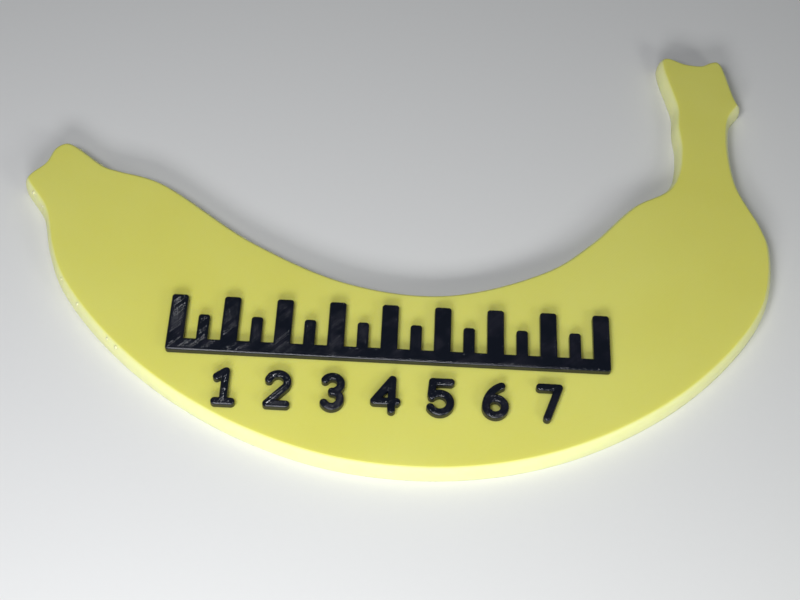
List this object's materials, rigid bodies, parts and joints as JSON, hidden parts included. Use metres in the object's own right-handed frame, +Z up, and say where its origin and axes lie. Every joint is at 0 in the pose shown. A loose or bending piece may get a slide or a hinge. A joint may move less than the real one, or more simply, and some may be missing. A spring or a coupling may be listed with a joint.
{
  "type": "banana-shaped plaque with a raised scale",
  "caption": "Flat printed plaque in the outline of a banana, with rounded upper edges and a raised centimetre scale of ticks and numerals.",
  "frame": {"origin": "middle of the outline's box, on the flat underside", "axes": "+X along the scale towards the stalk side, +Y towards the stalk's end, +Z up through the scale"},
  "size_m": [0.1501, 0.1028, 0.0054],
  "materials": {
    "yellow_plastic": "satin, slightly translucent, with fine printed lines",
    "black_plastic": "glossy, with diagonal printed lines"
  },
  "bodies": {
    "root": {"plate": "yellow_plastic", "scale_comb": "black_plastic", "numeral_1": "black_plastic", "numeral_2": "black_plastic", "numeral_3": "black_plastic", "numeral_4": "black_plastic", "numeral_5": "black_plastic", "numeral_6": "black_plastic", "numeral_7": "black_plastic"}
  },
  "joints": []
}
